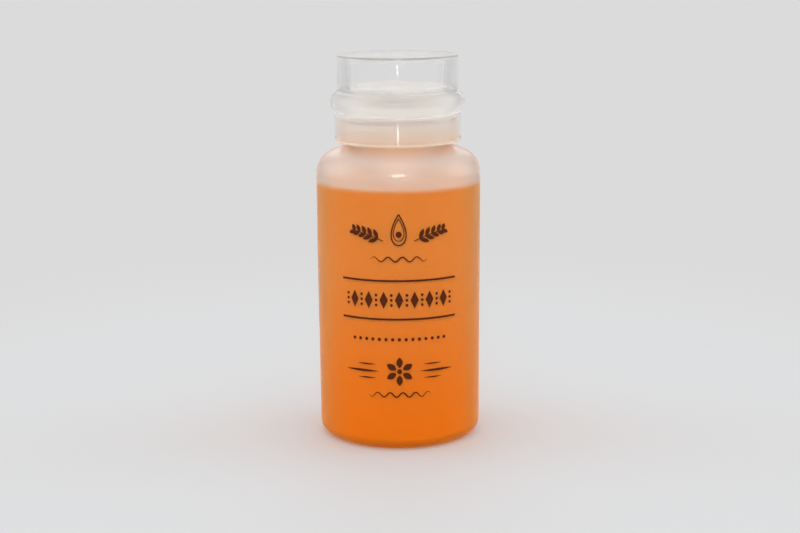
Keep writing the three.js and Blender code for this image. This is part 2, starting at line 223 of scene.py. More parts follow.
# %% Wrap a socket
class Wire:
    """A socket in a node tree, which can be used in arithmetic."""

    def __init__(self, tree, socket=None):
        self.tree = tree
        self.socket = socket

    def node(self, kind, settings=None, values=None, output=0):
        """Adds a node: settings first, then socket values or links. Returns one of its outputs."""
        made = self.tree.nodes.new(kind)
        for name, value in (settings or {}).items():
            setattr(made, name, value)
        for key, value in (values or {}).items():
            if isinstance(value, Wire):
                self.tree.links.new(value.socket, made.inputs[key])
            else:
                made.inputs[key].default_value = value
        return Wire(self.tree, made.outputs[output] if made.outputs else None)

    def principled(self, values):
        return self.node("ShaderNodeBsdfPrincipled", values=values)

    def maths(self, operation, first, second=0.0):
        return self.node("ShaderNodeMath", {"operation": operation}, {0: first, 1: second})

    def __add__(self, other):
        return self.maths("ADD", self, other)

    def __radd__(self, other):
        return self.maths("ADD", other, self)

    def __sub__(self, other):
        return self.maths("SUBTRACT", self, other)

    def __rsub__(self, other):
        return self.maths("SUBTRACT", other, self)

    def __mul__(self, other):
        return self.maths("MULTIPLY", self, other)

    def __rmul__(self, other):
        return self.maths("MULTIPLY", other, self)

    def __abs__(self):
        return self.maths("ABSOLUTE", self)

    def step(self, start, stop):
        """0 before start, 1 after stop, both in millimetres, and a smooth rise between them."""
        values = {"Value": self, "From Min": start * MM, "From Max": stop * MM}
        return self.node("ShaderNodeMapRange", {"interpolation_type": "SMOOTHSTEP"}, values)

    def mix(self, first, second):
        """A colour that goes from first to second as this wire goes from 0 to 1."""
        return self.node("ShaderNodeMix", {"data_type": "RGBA"}, {0: self, 6: first, 7: second}, 2)


def rgb(red, green, blue):
    return (red, green, blue, 1.0)


WHITE = rgb(1.0, 1.0, 1.0)
trial = bpy.data.node_groups.new("trial", "ShaderNodeTree")
inverse = 1 - 2 * Wire(trial).node("ShaderNodeValue")
print("1 - 2 * value makes", len(trial.nodes), "nodes and ends in", inverse.socket.node.operation)
bpy.data.node_groups.remove(trial)

# %% [markdown]
# A finish depends on where a point lies: how high up, and how far from the axis. Both come from the object's
# own space, which stays with the piece as it moves.

# %% Where a point lies
def new_finish(name, kind=bpy.data.materials):
    """An empty material, or world, and a wire to build on."""
    made = kind.new(name)
    made.use_nodes = True
    made.node_tree.nodes.clear()
    return made, Wire(made.node_tree)


def where(wire):
    """Place on the object, in the frame's metres."""
    return wire.node("ShaderNodeTexCoord", output="Object")


def height_of(wire):
    return wire.node("ShaderNodeSeparateXYZ", values={0: where(wire)}, output="Z")


def distance_out(wire):
    """Distance from the axis."""
    flat = wire.node("ShaderNodeVectorMath", {"operation": "MULTIPLY"}, {0: where(wire), 1: (1, 1, 0)})
    return wire.node("ShaderNodeVectorMath", {"operation": "LENGTH"}, {0: flat}, "Value")


trial, wire = new_finish("trial")
print("height is output", height_of(wire).socket.name, "and distance", distance_out(wire).socket.name)

# %% [markdown]
# Three things recur in the finishes. Noise breaks up a colour or a gloss, because no moulding is perfectly
# even. A fine bump stands for the texture of the mould. And a clear or milky plastic lets lamps through: for
# shadow rays it counts as transparent, so that what is inside the bottle is lit without the long wait that
# true caustics would take.

# %% Noise, bump and lamps
def noise(wire, size, detail=2.0):
    """Even noise from 0 to 1, with blotches of about a size in millimetres."""
    values = {"Vector": where(wire), "Scale": 1 / (size * MM), "Detail": detail}
    return wire.node("ShaderNodeTexNoise", values=values)


def bump(wire, height, depth):
    """A normal bent by a height from 0 to 1, over a depth in millimetres."""
    return wire.node("ShaderNodeBump", values={"Height": height, "Distance": depth * MM, "Strength": 1.0})


def let_lamps_in(wire, shader, tint, faint=0.0):
    """Lamps pass through and take the tint. Faint is the share of other rays that pass unbent too."""
    shadow = wire.node("ShaderNodeLightPath", output="Is Shadow Ray")
    clear = wire.node("ShaderNodeBsdfTransparent", values={"Color": tint})
    through = faint + shadow * (1 - faint)
    return wire.node("ShaderNodeMixShader", values={0: through, 1: shader, 2: clear})


def close(wire, shader, volume=None):
    """Joins a shader, and a volume if there is one, to the material's output."""
    values = {"Surface": shader}
    if volume:
        values["Volume"] = volume
    wire.node("ShaderNodeOutputMaterial", values=values)


close(wire, let_lamps_in(wire, wire.principled({}), WHITE))
print("with a finish that lets lamps in, the trial has", len(trial.node_tree.nodes), "nodes")
bpy.data.materials.remove(trial)

# %% [markdown]
# ## The milky bottle wall
#
# Natural polyethylene scatters light: it is never clear, and it takes the colour of whatever touches it.
# Where remover wets the inside, the wall glows orange. Above the level it is a warm white. A glass shader
# with a high roughness gives the blur, the base colour gives the glow, and a thin coat gives the crisp small
# highlight on the shoulder. An index of refraction below the real one keeps dark edges off the thin wall.
# The parting line of the mould is too fine to model, so it is a bump along the two sides.

# %% Milky wall
FILL_LEVEL = span("remover_liquid")[2]
MENISCUS = 0.7  # rise of the liquid at the wall, in millimetres
WAVINESS = 0.6  # of the line between wet and dry
WET_END, DRY_START = 1.0, 1.4  # below and above the rim of the liquid
PALE_FROM, DEEP_FROM = 62, 4  # heights between which the orange deepens towards the base
# painted light: just under the collar the wall is painted warmer and lighter, for warm light thrown between
# collar and shoulder
PAINTED_WARM_LIGHT_FROM, PAINTED_WARM_LIGHT_TO = 87.5, 90  # heights where the wall turns warmer below the collar
PARTING_CREST, PARTING_FOOT = 0.05, 0.3  # half widths of the parting line
wet_top = FILL_LEVEL + MENISCUS


def milky_wall_finish():
    material, wire = new_finish("milky_wall")
    height = height_of(wire)
    wavy = height + noise(wire, 9.0) * (WAVINESS * MM)
    dry = wavy.step(wet_top - WET_END, wet_top + DRY_START)
    low = height.step(PALE_FROM, DEEP_FROM)
    wet_colour = low.mix(rgb(0.87, 0.51, 0.125), rgb(0.91, 0.435, 0.001))
    up = height.step(wet_top, neck_top)
    dry_colour = up.mix(rgb(0.89, 0.81, 0.76), rgb(0.93, 0.86, 0.81))
    # painted warm light under the collar, where the collar shades the shoulder
    dry_colour = height.step(PAINTED_WARM_LIGHT_FROM, PAINTED_WARM_LIGHT_TO).mix(dry_colour, rgb(1.0, 0.82, 0.69))
    cloud = noise(wire, 14.0, 3.0)
    colour = dry.mix(wet_colour, dry_colour)
    side = wire.node("ShaderNodeSeparateXYZ", values={0: where(wire)}, output="Y")
    parting = 1 - abs(side).step(PARTING_CREST, PARTING_FOOT)
    grain = noise(wire, 0.5)
    values = {
        "Base Color": colour,
        "Roughness": 0.36 + cloud * 0.1,
        "Normal": bump(wire, parting * 0.5 + grain * 0.12, 0.05),
        "Transmission Weight": 0.8,
        "IOR": 1.22,
        "Specular IOR Level": 0.2,
        "Coat Weight": 0.05 + dry * 0.57,
        "Coat Roughness": 0.04,
        "Sheen Weight": 0.5,
        "Sheen Roughness": 0.3,
        "Sheen Tint": rgb(1.0, 0.5, 0.34),
    }
    close(wire, let_lamps_in(wire, wire.principled(values), rgb(0.99, 0.96, 0.93)))
    return material


milky_wall = milky_wall_finish()
print(milky_wall.name, "is wet up to", wet_top, "mm")

# %% [markdown]
# ## The other finishes
#
# The remover is a dyed, clear liquid. Behind the milky wall nobody can see into it, so a colour that deepens
# towards the base, softened by a little subsurface light, gives the same look and stays visible through the
# wall in other viewers too. Lamps still pass through it, and take an orange tint.

# %% Orange remover
def remover_finish():
    material, wire = new_finish("orange_remover")
    height = height_of(wire)
    deep = height.step(FILL_LEVEL, DEEP_FROM)
    colour = deep.mix(rgb(0.95, 0.475, 0.09), rgb(0.96, 0.405, 0.003))
    values = {
        "Base Color": colour,
        "Roughness": 0.06 + noise(wire, 20.0) * 0.04,
        "IOR": 1.36,
        "Subsurface Weight": 0.25,
        "Subsurface Radius": (1.0, 0.35, 0.05),
        "Subsurface Scale": 0.004,
    }
    close(wire, let_lamps_in(wire, wire.principled(values), rgb(1.0, 0.58, 0.22)))
    return material


orange_remover = remover_finish()
print(orange_remover.name, "has", len(orange_remover.node_tree.nodes), "nodes")

# %% [markdown]
# The overcap is injection-moulded styrene: clear, glossy and faintly grey where a ray runs a long way inside
# it, as along the rim of the top. A constant Volume Absorption gives part of that. The rest is painted
# shade: a base colour that is darker on the lid, darkest on its rim and a little darker on the bead. The
# drum lets most rays pass unbent, because its wall is thin.

# %% Clear styrene
BEAD_HEIGHT = 6.6
BEAD_FADE = 1.0  # above and below the top of the bead
LID_FROM, LID_TO = 0.9, 0.4  # below the top of the cap
RIM_FROM, RIM_TO = 17.2, 17.8  # radii
cap_reach, cap_foot, cap_top = span("overcap")
bead_top = cap_foot + BEAD_HEIGHT


def clear_cap_finish():
    material, wire = new_finish("clear_styrene")
    height = height_of(wire)
    lid = height.step(cap_top - LID_FROM, cap_top - LID_TO)
    rim = lid * distance_out(wire).step(RIM_FROM, RIM_TO)
    bead = height.step(bead_top + BEAD_FADE, bead_top - BEAD_FADE)
    # painted shade: the bead, the lid and the lid's rim get a darker base colour for the long paths of light
    # through them
    colour = bead.mix(rgb(0.985, 0.985, 0.985), rgb(0.92, 0.92, 0.92))
    colour = lid.mix(colour, rgb(0.77, 0.77, 0.72))
    values = {
        "Base Color": rim.mix(colour, rgb(0.36, 0.35, 0.29)),
        "Roughness": 0.2 + noise(wire, 6.0) * 0.06 + bead * 0.3,
        "Transmission Weight": 1.0,
        "IOR": 1.22,
        "Coat Weight": 0.8,
        "Coat Roughness": 0.02,
    }
    grey = wire.node("ShaderNodeVolumeAbsorption", values={"Color": rgb(0.62, 0.62, 0.54), "Density": 2.0})
    unbent = 0.65 - lid * 0.45 - rim * 0.15 - bead * 0.45
    close(wire, let_lamps_in(wire, wire.principled(values), WHITE, unbent), grey)
    return material


clear_styrene = clear_cap_finish()
print(f"{clear_styrene.name} is cloudier below {bead_top:.1f} mm")

# %% [markdown]
# Collar, dish and pump are natural polypropylene: hazier than the cap, stiffer and whiter than the bottle.
# The collar and the dish are thin enough to let some light through. The pump's inner mouldings are thicker,
# so subsurface light is enough for them. One function makes all of them from a few choices.

# %% Natural polypropylene
LIP = 0.5  # height of the lip at the foot of a thin wall
THIN_FADE = 0.4  # the finish turns clearer over this much of the radius
THIN_CLEAR = 0.7  # share of the light that crosses a thin wall unbent


def polypropylene_finish(name, colour, clear, roughness, faint=0.0, glow=0.15, foot=None, thin=None):
    """Hazy natural plastic. Clear is the share of light let through, glow the share that spreads inside.

    Foot gives a colour of painted light for the lower part, and the heights between which it fades out. Thin
    gives a radius outside which the wall is thin and far clearer, and the height of the lip under it."""
    material, wire = new_finish(name)
    cloud = noise(wire, 7.0, 3.0)
    paint = cloud.mix(colour, rgb(*[channel * 0.96 for channel in colour[:3]]))
    # painted light: over the lower part the foot colour is a glow or a lightening that stands in for light
    if foot:
        painted_light_colour, start, stop = foot
        paint = height_of(wire).step(start, stop).mix(painted_light_colour, paint)
    values = {
        "Base Color": paint,
        "Roughness": roughness + cloud * 0.08,
        "Normal": bump(wire, noise(wire, 0.6), 0.006),
        "Transmission Weight": clear,
        "IOR": 1.49,
        "Specular IOR Level": 0.4,
        "Coat Weight": 0.4,
        "Coat Roughness": 0.05,
        "Subsurface Weight": glow,
        "Subsurface Radius": (1.0, 0.9, 0.8),
        "Subsurface Scale": 0.002,
    }
    shader = wire.principled(values)
    if thin:
        radius, lip = thin
        outside = distance_out(wire).step(radius - THIN_FADE, radius)
        above_lip = height_of(wire).step(lip + LIP, lip + 2 * LIP)
        faint = faint + outside * above_lip * (THIN_CLEAR - faint)
    close(wire, let_lamps_in(wire, shader, rgb(1.0, 0.99, 0.98), faint) if clear else shader)
    return material


collar_radius, collar_foot, collar_top = span("collar")
hazy_collar = polypropylene_finish(
    "hazy_collar",
    rgb(0.9, 0.86, 0.82),
    clear=0.35,
    roughness=0.35,
    faint=0.1,
    # painted light: the collar's foot is painted warm, for the orange light the remover throws up from below
    foot=(rgb(0.92, 0.76, 0.63), collar_foot, collar_top - 3),
    thin=(18.0, collar_foot),
)
dish_radius, hub_foot, dish_top = span("dish")
hazy_dish = polypropylene_finish(
    "hazy_dish",
    rgb(0.79, 0.77, 0.75),
    clear=0.15,
    roughness=0.35,
    faint=0.45,
    glow=0.85,
    # painted light: the lower part of the dish, its shaded underside, is painted lighter
    foot=(rgb(0.9, 0.89, 0.88), dish_top - 3.2, dish_top - 1.2),
)
white_moulding = polypropylene_finish("white_moulding", rgb(0.93, 0.89, 0.85), clear=0.0, roughness=0.42)
soft_seal = polypropylene_finish("soft_seal", rgb(0.9, 0.88, 0.86), clear=0.0, roughness=0.55)
print("polypropylene finishes:", hazy_collar.name, hazy_dish.name, white_moulding.name, soft_seal.name)

# %% [markdown]
# The spring and the two valve balls are stainless steel. Drawn wire is a little streaky and a ground ball is
# not, but both are bare metal, so one material with an uneven gloss does for them. The print is a flat dark
# brown ink, which looks slightly mottled because it is screened on to a curved wall.

# %% Steel and ink
def steel_finish():
    material, wire = new_finish("stainless_steel")
    values = {
        "Base Color": noise(wire, 2.0).mix(rgb(0.66, 0.67, 0.69), rgb(0.75, 0.75, 0.76)),
        "Metallic": 1.0,
        "Roughness": 0.18 + noise(wire, 0.8) * 0.18,
    }
    close(wire, wire.principled(values))
    return material


def ink_finish():
    material, wire = new_finish("brown_ink")
    values = {
        "Base Color": noise(wire, 1.2, 4.0).mix(rgb(0.07, 0.011, 0.0005), rgb(0.11, 0.02, 0.001)),
        "Roughness": 0.5 + noise(wire, 0.7) * 0.15,
        "Specular IOR Level": 0.12,
    }
    close(wire, wire.principled(values))
    return material


stainless_steel = steel_finish()
brown_ink = ink_finish()
print("metal and ink:", stainless_steel.name, brown_ink.name)

# %% [markdown]
# ## The bottle
#
# A blow-moulded bottle has one wall of almost even thickness, so the inside follows the outside. The base is
# pushed up into a shallow dome, so that the bottle stands on a ring. The body is very slightly wider at the
# shoulder, which lets the mould halves come away.

# %% Outline of the bottle
WALL = 1.0
BASE_RADIUS = 24.7
BASE_CORNER = 3.6
CORNER_START = -88  # degrees, just short of straight down
FOOT_WIDTH = 3.4
FOOT_INNER_EASE, FOOT_OUTER_EASE = 0.3, 0.1  # the flat ring stops this far from its edges
PUSH_UP = 1.8
SHOULDER_FOOT = 80.9
SHOULDER_ROUND = 7.4
SHOULDER_END = 70  # degrees round the shoulder, where the cone to the neck begins
NECK_RADIUS = 15.0
NECK_WALL = 1.8
NECK_HEIGHT = 8.0
NECK_ROWS = 44

neck_foot = neck_top - NECK_HEIGHT
shoulder_centre = (bottle_radius - SHOULDER_ROUND, SHOULDER_FOOT)
foot_outside = BASE_RADIUS - BASE_CORNER
foot_inside = foot_outside - FOOT_WIDTH
cone_slope = math.tan(math.radians(90 - SHOULDER_END))


def body_line(inset):
    """The base and the side, from the axis to the foot of the shoulder, moved in by an inset."""
    dome = []
    for share in (0.0, 0.15, 0.3, 0.45, 0.6, 0.75, 0.88, 0.96):
        dome.append((foot_inside * share, inset + PUSH_UP * (1 - share**2)))
    ring = [(foot_inside + FOOT_INNER_EASE, inset), (foot_outside - FOOT_OUTER_EASE, inset)]
    corner = arc((foot_outside, BASE_CORNER), BASE_CORNER - inset, CORNER_START, 0, 12)
    side = []
    for share in (0.2, 0.4, 0.6, 0.8):
        up = BASE_CORNER + (SHOULDER_FOOT - BASE_CORNER) * share
        side.append((wall_radius(up) - inset, up))
    return dome + ring + corner + side


def wall_radius(height):
    """Outer radius of the bottle's side at a height."""
    share = (height - BASE_CORNER) / (SHOULDER_FOOT - BASE_CORNER)
    return BASE_RADIUS + (bottle_radius - BASE_RADIUS) * share


def shoulder_line(inset, bore):
    """The shoulder from its foot to the neck, moved in by an inset."""
    curve = arc(shoulder_centre, SHOULDER_ROUND - inset, 0, SHOULDER_END, 14)
    end_radius, end_height = curve[-1]
    return curve + [(bore, end_height + (end_radius - bore) * cone_slope)]


print(f"halfway up the bottle is {wall_radius(SHOULDER_FOOT / 2):.2f} mm in radius")

# %% [markdown]
# The screw thread is a ridge that climbs by one pitch in a turn. On the neck it stands out, and inside the
# collar a second one stands in, half a pitch lower, so that the two slide past each other as the collar is
# turned. Each ridge fades in and out at its ends, as a moulded thread does.

# %% A thread as relief on a turned surface
PITCH = 4.23
RIDGE_HALF = 0.55
RIDGE_FLANK = 0.35
THREAD_FADE = 0.12  # of a turn
THREAD_END = 0.3  # plain wall left beyond a thread
ON_LINE = 0.001
NECK_TURNS = (0.0, 1.35)
NECK_RIDGE = 1.1
THREAD_RISE = 1.6  # from the neck's foot to the thread's start
thread_start = neck_foot + THREAD_RISE


def thread(radius, low, high, start, turns, depth):
    """Relief of a right-hand thread on one radius, between two heights.

    It climbs from a start height at angle 0, and the turns say where it begins and ends."""
    first, last = turns

    def relief(reach, height, angle):
        if abs(reach - radius) > ON_LINE or not low < height < high:
            return 0.0
        best = 0.0
        for whole in range(math.floor(first), math.ceil(last) + 1):
            turn = whole + angle / (2 * math.pi)
            if first <= turn <= last:
                off = abs(height - start - PITCH * turn)
                side = min(1.0, max(0.0, (RIDGE_HALF + RIDGE_FLANK - off) / RIDGE_FLANK))
                fade = min(1.0, (turn - first) / THREAD_FADE, (last - turn) / THREAD_FADE)
                best = max(best, side * fade)
        return best * depth

    return relief


neck_thread = thread(NECK_RADIUS, neck_foot + THREAD_END, neck_top, thread_start, NECK_TURNS, NECK_RIDGE)
print("the neck's thread climbs", round(PITCH * NECK_TURNS[1], 2), "mm")

# %% [markdown]
# The neck is straight. Its wall is cut into many rows, so that the thread has points to rise from. Base,
# side, shoulder, neck and lip are one line, outside and inside.

# %% The bottle itself
LIP_FOOT = 0.5  # room below the lip without rows
OUTER_LIP, INNER_LIP = 0.4, 0.3
neck_bore = NECK_RADIUS - NECK_WALL
neck_line = []
for row in range(1, NECK_ROWS):
    neck_line.append((NECK_RADIUS, neck_foot + (NECK_HEIGHT - LIP_FOOT) * row / NECK_ROWS))
neck_lip = arc((NECK_RADIUS - OUTER_LIP, neck_top - OUTER_LIP), OUTER_LIP, 0, 90, 4)
inner_lip = arc((neck_bore + INNER_LIP, neck_top - INNER_LIP), INNER_LIP, 90, 180, 3)
outside = body_line(0.0) + shoulder_line(0.0, NECK_RADIUS) + neck_line + neck_lip
inside = body_line(WALL) + shoulder_line(WALL, neck_bore)
shape = turned(outside + inner_lip + inside[::-1], closed=False, relief=neck_thread)
make_piece("bottle_blown", shape, milky_wall, "bottle", "bottle")

# %% [markdown]
# The bottle starts as a soft tube that the mould pinches shut before it is blown, so a low bar is left
# across the base, in line with the parting line. It is a strip with a flat section, laid along the dome so
# closely that it looks like one moulding. The spring and the print are strips of the same kind later on.

# %% Pinch-off bar
PINCH_REACH = 14.0
PINCH_HALF = 0.5
PINCH_CREST = 0.6  # share of the width at the crest
PINCH_DEPTH = 0.35
PINCH_GAP = 0.015  # to the dome, because glass inside glass would show as a dark seam
PINCH_ROWS = 41
PINCH_END, PINCH_SLOPE = 0.1, 5  # depth at its ends, and how fast it rises from there


def strip_faces(rows, sides, first=0):
    """Faces of a strip with the same number of points in each row, closed at both ends."""
    faces = []
    for row in range(rows - 1):
        here, there = first + row * sides, first + (row + 1) * sides
        for side in range(sides):
            beside = (side + 1) % sides
            faces.append([here + side, here + beside, there + beside, there + side])
    faces.append([first + side for side in range(sides)])
    faces.append([first + (rows - 1) * sides + side for side in range(sides)])
    return faces


bar = []
for row in range(PINCH_ROWS):
    across = PINCH_REACH * (2 * row / (PINCH_ROWS - 1) - 1)
    under = PUSH_UP * (1 - (across / foot_inside) ** 2)
    fade = min(1.0, PINCH_END + PINCH_SLOPE * (1 - abs(across) / PINCH_REACH))
    foot = under - PINCH_GAP - PINCH_DEPTH * fade
    bar += [(across, -PINCH_HALF, under - PINCH_GAP), (across, PINCH_HALF, under - PINCH_GAP)]
    bar += [(across, PINCH_HALF * PINCH_CREST, foot), (across, -PINCH_HALF * PINCH_CREST, foot)]
make_piece("pinch_off_bar", (bar, strip_faces(PINCH_ROWS, 4)), milky_wall, "bottle")

# %% [markdown]
# ## The remover
#
# A liquid climbs a little at the wall. That rim, the meniscus, is why the level reads as a soft line. The
# liquid is a body of its own, turned from the inside of the bottle with room left for the pump in the
# middle.

# %% Remover in the bottle
WALL_FILM = 0.06  # left between wall and liquid, so that the two surfaces never coincide
ROOM = 0.3  # round the pump, as in the CAD model
MENISCUS_WIDTH = 2.2
tube_radius, tube_tip, tube_top = span("dip_tube")
CHAMBER_RADIUS = 6.2
SOCKET_RADIUS = 3.4
INLET_SEAT = 73.09
flange_radius, socket_foot, flange_top = span("pump_housing")
chamber_taper = INLET_SEAT + (CHAMBER_RADIUS - SOCKET_RADIUS) / 2

level_edge = wall_radius(FILL_LEVEL) - WALL - WALL_FILM
climb = []
for share in (0.0, 0.3, 0.55, 0.75, 0.9):
    climb.append((level_edge - MENISCUS_WIDTH * share, FILL_LEVEL + MENISCUS * (1 - share) ** 2))
well = [
    (CHAMBER_RADIUS + ROOM, FILL_LEVEL),
    (CHAMBER_RADIUS + ROOM, chamber_taper - ROOM),
    (SOCKET_RADIUS + ROOM, INLET_SEAT - ROOM),
    (SOCKET_RADIUS + ROOM, socket_foot - ROOM),
    (tube_radius + ROOM, socket_foot - ROOM),
    (tube_radius + ROOM, tube_tip - ROOM),
    (0.0, tube_tip - ROOM),
]
wetted = [point for point in body_line(WALL + WALL_FILM) if point[1] < FILL_LEVEL]
shape = turned(wetted + climb + well, closed=False)
make_piece("remover", shape, orange_remover, "bottle", "remover_liquid")

# %% [markdown]
# ## Collar and seal
#
# The collar has two skirts: the inner one carries the thread and the outer one is what the fingers turn. On
# top of it a low spigot holds the overcap, and a deck reaches inwards over the pump's flange to clamp it
# down. Its foot is a rounded lip, which catches the light as a thin bright line.

# %% Screw collar
INNER_SKIRT = 17.4
COLLAR_BORE = 16.5
OUTER_INSIDE = 18.1
SLOT_SUNK = 0.7  # top of the slot between the skirts, below the neck's
FLANGE_RECESS = 15.7
SPIGOT_RADIUS = 16.8
DECK_HOLE = 13.7
SPIGOT_RISE = 0.65
DECK = 1.1
SEAT = 0.15
COLLAR_TURNS = (0.8, 1.68)
COLLAR_RIDGE = 1.0
ledge = cap_foot - SEAT
deck_top = collar_top - SPIGOT_RISE
slot_top = neck_top - SLOT_SUNK
bore_span = (collar_foot + THREAD_END, neck_top - THREAD_END)
collar_thread = thread(COLLAR_BORE, *bore_span, thread_start - PITCH / 2, COLLAR_TURNS, -COLLAR_RIDGE)
bore_rows = []
for row in range(1, NECK_ROWS):
    bore_rows.append((COLLAR_BORE, neck_top + (collar_foot - neck_top) * row / NECK_ROWS))
collar_corners = [
    (COLLAR_BORE, collar_foot, 0.25),
    (INNER_SKIRT, collar_foot, 0.25),
    (INNER_SKIRT, slot_top, 0.2),
    (OUTER_INSIDE, slot_top, 0.2),
    (OUTER_INSIDE, collar_foot, 0.45),
    (collar_radius, collar_foot, 0.5),
    (collar_radius, ledge, 0.45),
    (SPIGOT_RADIUS, ledge, 0.2),
    (SPIGOT_RADIUS, collar_top, 0.4),
    (FLANGE_RECESS, collar_top, 0.3),
    (FLANGE_RECESS, deck_top, 0.25),
    (DECK_HOLE, deck_top, 0.3),
    (DECK_HOLE, deck_top - DECK, 0.3),
    (FLANGE_RECESS, deck_top - DECK),
    (FLANGE_RECESS, neck_top),
    (COLLAR_BORE, neck_top),
]
shape = turned(rounded(collar_corners) + bore_rows, relief=collar_thread)
make_piece("collar_screw", shape, hazy_collar, "collar", "collar")

# %% [markdown]
# A soft ring seals the flange of the pump on the top of the neck. Such rings are stamped from sheet, so it
# is a plain flat ring with barely broken edges.

# %% Gasket under the pump's flange
gasket_radius, gasket_foot, gasket_top = span("neck_gasket")
gasket_corners = [
    (neck_bore, gasket_foot, 0.2),
    (gasket_radius, gasket_foot, 0.2),
    (gasket_radius, gasket_top, 0.2),
    (neck_bore, gasket_top, 0.2),
]
mould("gasket", gasket_corners, soft_seal, "pump_body", "neck_gasket")

# %% [markdown]
# ## Clear overcap
#
# The cap is a plain drum with a thick rounded bead round its open end for the fingers to pull on. The bead
# is an arc set against the drum, and it bends the light like a lens, so its roundness matters more than
# anything else on the cap.

# %% Overcap
CAP_RADIUS = 18.3
CAP_INSIDE = 17.1
CAP_ROOF = 1.3
BEAD_STEPS = 28
bead_middle = cap_foot + BEAD_HEIGHT / 2
bead_proud = cap_reach - CAP_RADIUS
bead_round = (BEAD_HEIGHT**2 / 4 + bead_proud**2) / (2 * bead_proud)
bead_angle = math.degrees(math.asin(BEAD_HEIGHT / 2 / bead_round))
bead = arc((cap_reach - bead_round, bead_middle), bead_round, -bead_angle, bead_angle, BEAD_STEPS)
drum = [
    (0.0, cap_top - CAP_ROOF),
    (CAP_INSIDE, cap_top - CAP_ROOF, 0.7),
    (CAP_INSIDE, cap_foot, 0.25),
    *bead,
    (CAP_RADIUS, cap_top, 0.7),
    (0.0, cap_top),
]
shape = turned(rounded(drum, closed=False), closed=False)
make_piece("overcap_clear", shape, clear_styrene, "overcap", "overcap")

# %% [markdown]
# ## Dish
#
# The dish is a shallow bowl on a hub that is pushed on to the pump's stem. The bowl is part of a sphere, and
# its floor has the same curve on both sides, as an even moulding has.

# %% Dish
BOWL_DEPTH = 4.4
BOWL_FLOOR = 1.1
DISH_LIP = 1.0
DISH_RIM = 1.3
HUB_BORE = 2.55
HUB_RADIUS = 3.9
HUB_TOP = 101.24
INSERT_SUNK = 0.45
OUTLET_POCKET = 1.75
insert_radius, insert_foot, insert_top = span("dish_insert")
bowl_radius = dish_radius - DISH_LIP
bowl_foot = dish_top - BOWL_DEPTH
bowl_curve = (bowl_radius**2 + BOWL_DEPTH**2) / (2 * BOWL_DEPTH)


def bowl_line(start, stop, drop, steps=16):
    """Points along the bowl between two radii, moved down by a drop."""
    points = []
    for i in range(steps + 1):
        radius = start + (stop - start) * i / steps
        points.append((radius, bowl_foot - drop + bowl_curve - math.sqrt(bowl_curve**2 - radius**2)))
    return points


rim_sag = BOWL_DEPTH - DISH_RIM + BOWL_FLOOR
rim_inside = math.sqrt(2 * bowl_curve * rim_sag - rim_sag**2)
recess = insert_radius + SEAT
dish_corners = [
    (OUTLET_POCKET, HUB_TOP),
    (HUB_BORE, HUB_TOP),
    (HUB_BORE, hub_foot, 0.2),
    (HUB_RADIUS, hub_foot, 0.3),
    *bowl_line(HUB_RADIUS, rim_inside, BOWL_FLOOR),
    (dish_radius, dish_top - DISH_RIM, 0.3),
    (dish_radius, dish_top, 0.45),
    *bowl_line(bowl_radius, recess, 0.0),
    (recess, bowl_foot - INSERT_SUNK, 0.1),
    (OUTLET_POCKET, bowl_foot - INSERT_SUNK),
]
mould("dish_saucer", dish_corners, hazy_dish, "plunger", "dish")

# %% [markdown]
# A small insert in the middle of the dish holds the outlet ball down. The remover comes out of the hole in
# it.

# %% Insert
SHANK_RADIUS = 1.6
SHANK_LENGTH = 0.5
OUTLET_HOLE = 0.45
insert_corners = [
    (OUTLET_HOLE, insert_foot),
    (SHANK_RADIUS, insert_foot, 0.1),
    (SHANK_RADIUS, insert_foot + SHANK_LENGTH),
    (insert_radius, insert_foot + SHANK_LENGTH, 0.15),
    (insert_radius, insert_top, 0.45),
    (OUTLET_HOLE, insert_top, 0.2),
]
mould("dish_button", insert_corners, soft_seal, "plunger", "dish_insert")

# %% [markdown]
# ## Pump
#
# The housing hangs in the neck by its flange: a cup on top, the chamber that the piston runs in, a cone for
# the inlet ball and a socket for the dip tube. Nothing of it can be seen sharply through the milky wall, but
# its pale shape shows through the upper part of the bottle.

# %% Pump housing
CUP_INSIDE = 11.8
CUP_RADIUS = 12.9
CUP_DEPTH = 5.2
CUP_FLOOR = 1.2
CHAMBER_INSIDE = 5.0
INLET_POCKET = 2.6
INLET_THROAT = 1.1
INLET_CONE = 1.1
TUBE_SOCKET = 2.15
cup_floor = ledge - CUP_DEPTH
shelf = span("ball_cage")[1] - SEAT
socket_top = tube_top + SEAT
housing_corners = [
    (flange_radius, ledge, 0.2),
    (flange_radius, flange_top, 0.2),
    (CUP_INSIDE, flange_top, 0.3),
    (CUP_INSIDE, cup_floor, 0.5),
    (CHAMBER_INSIDE, cup_floor, 0.2),
    (CHAMBER_INSIDE, shelf),
    (INLET_POCKET, shelf),
    (INLET_POCKET, INLET_SEAT),
    (INLET_THROAT, INLET_SEAT - INLET_CONE),
    (INLET_THROAT, socket_top),
    (TUBE_SOCKET, socket_top),
    (TUBE_SOCKET, socket_foot, 0.2),
    (SOCKET_RADIUS, socket_foot, 0.3),
    (SOCKET_RADIUS, INLET_SEAT, 0.6),
    (CHAMBER_RADIUS, chamber_taper, 0.8),
    (CHAMBER_RADIUS, cup_floor - CUP_FLOOR, 0.5),
    (CUP_RADIUS, cup_floor - CUP_FLOOR, 0.6),
    (CUP_RADIUS, ledge),
]
mould("pump_barrel", housing_corners, white_moulding, "pump_body", "pump_housing")

# %% [markdown]
# The guide is a bush pressed into the top of the chamber. It keeps the stem upright and stops the piston at
# the top of its stroke.

